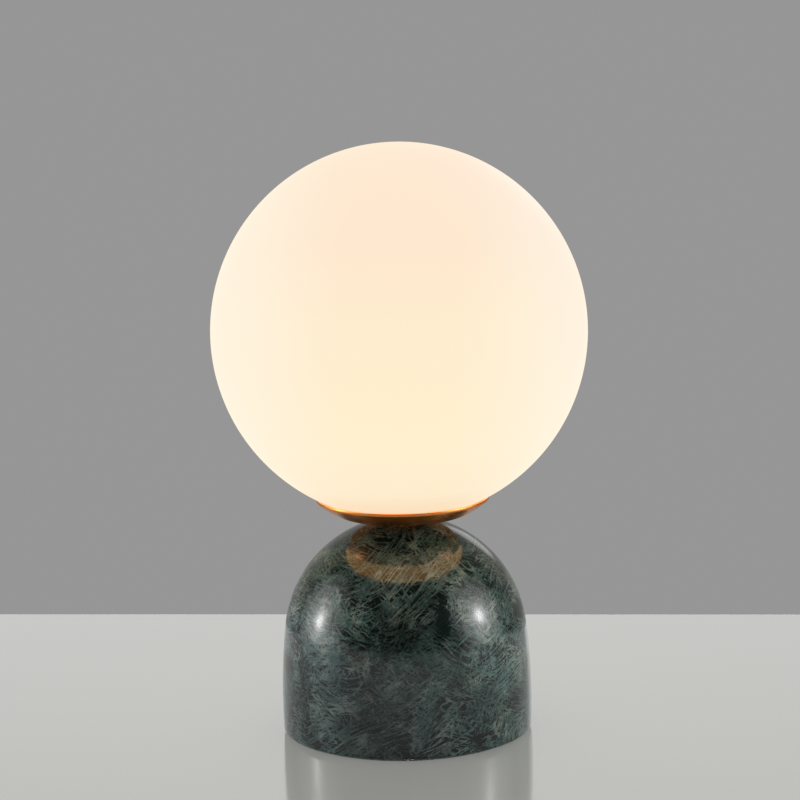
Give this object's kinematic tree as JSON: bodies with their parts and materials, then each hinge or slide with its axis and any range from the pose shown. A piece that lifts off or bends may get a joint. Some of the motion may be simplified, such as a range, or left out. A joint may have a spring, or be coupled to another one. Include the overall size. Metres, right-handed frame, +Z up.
{
  "type": "glass globe table lamp",
  "caption": "Table lamp with an opal glass globe in a shallow brass dish on a solid domed marble base; the globe and the bulb lift out.",
  "frame": {"origin": "on the table under the lamp's axis, at the underside of the base pad", "axes": "+Z up along the lamp's axis, -Y the front, +Y the rear with the cord inlet, +X to the right seen from the front"},
  "size_m": [0.2, 0.2, 0.3177],
  "materials": {
    "opal_glass": "opal blown glass, smooth satin-gloss surface, lit warm from inside",
    "green_marble": "dark green veined marble, polished",
    "polished_brass": "polished, warm lacquered brass",
    "felt_black": "dense foam pad, matt black",
    "black_rubber": "moulded rubber",
    "silicone": "translucent silicone",
    "zinc_steel": "zinc-plated steel",
    "vulcanised_fibre": "red vulcanised fibre",
    "plain_brass": "turned brass, unpolished",
    "tinned_copper": "tin-plated copper",
    "aluminium_turned": "turned aluminium",
    "holder_plastic": "heat-resistant black moulding",
    "glazed_porcelain": "white porcelain",
    "nickel_shell": "nickel-plated pressed brass",
    "white_plastic": "white moulding",
    "black_glass": "black insulating glass",
    "bulb_diffuser": "frosted diffuser, lit",
    "led_carrier": "white-coated aluminium board",
    "led_yellow": "phosphor-filled chip",
    "circuit_board": "glass-fibre circuit board",
    "wire_brown": "brown insulation",
    "wire_blue": "blue insulation",
    "wire_green_yellow": "green and yellow insulation"
  },
  "bodies": {
    "base": {"marble_base": "green_marble", "base_pad": "felt_black", "cover_plate": "zinc_steel", "cover_screws": "zinc_steel", "marble_inserts": "plain_brass", "cord_grommet": "black_rubber", "threaded_rod": "zinc_steel", "base_fibre_washer": "vulcanised_fibre", "base_plate_washer": "zinc_steel", "earth_lug": "tinned_copper", "base_lock_washer": "zinc_steel", "base_nut": "zinc_steel", "neck_washer": "vulcanised_fibre", "neck_spacer": "polished_brass", "brass_dish": "polished_brass", "fitter_ring": "aluminium_turned", "dish_washer": "zinc_steel", "dish_nut": "zinc_steel", "globe_gasket": "silicone", "holder_cap": "holder_plastic", "holder_lock_screw": "zinc_steel", "holder_insert": "glazed_porcelain", "holder_terminal_screws": "zinc_steel", "holder_skirt": "holder_plastic", "holder_screw_shell": "nickel_shell", "holder_centre_contact": "plain_brass", "terminal_block": "white_plastic", "terminal_sleeves": "plain_brass", "terminal_clamp_screws": "zinc_steel", "live_wire": "wire_brown", "neutral_wire": "wire_blue", "earth_wire": "wire_green_yellow"},
    "globe": {"glass_globe": "opal_glass", "globe_collar": "aluminium_turned"},
    "bulb": {"bulb_contact": "tinned_copper", "bulb_insulator": "black_glass", "bulb_cap": "nickel_shell", "bulb_housing": "white_plastic", "bulb_envelope": "bulb_diffuser", "bulb_led_board": "led_carrier", "bulb_led_chips": "led_yellow", "bulb_driver_board": "circuit_board"}
  },
  "joints": [
    {"name": "globe_lift", "type": "slide", "parent": "base", "child": "globe", "axis": [0, 0, 1], "range_m": [0, 0.12]},
    {"name": "bulb_lift", "type": "slide", "parent": "base", "child": "bulb", "axis": [0, 0, 1], "range_m": [0, 0.032]}
  ]
}
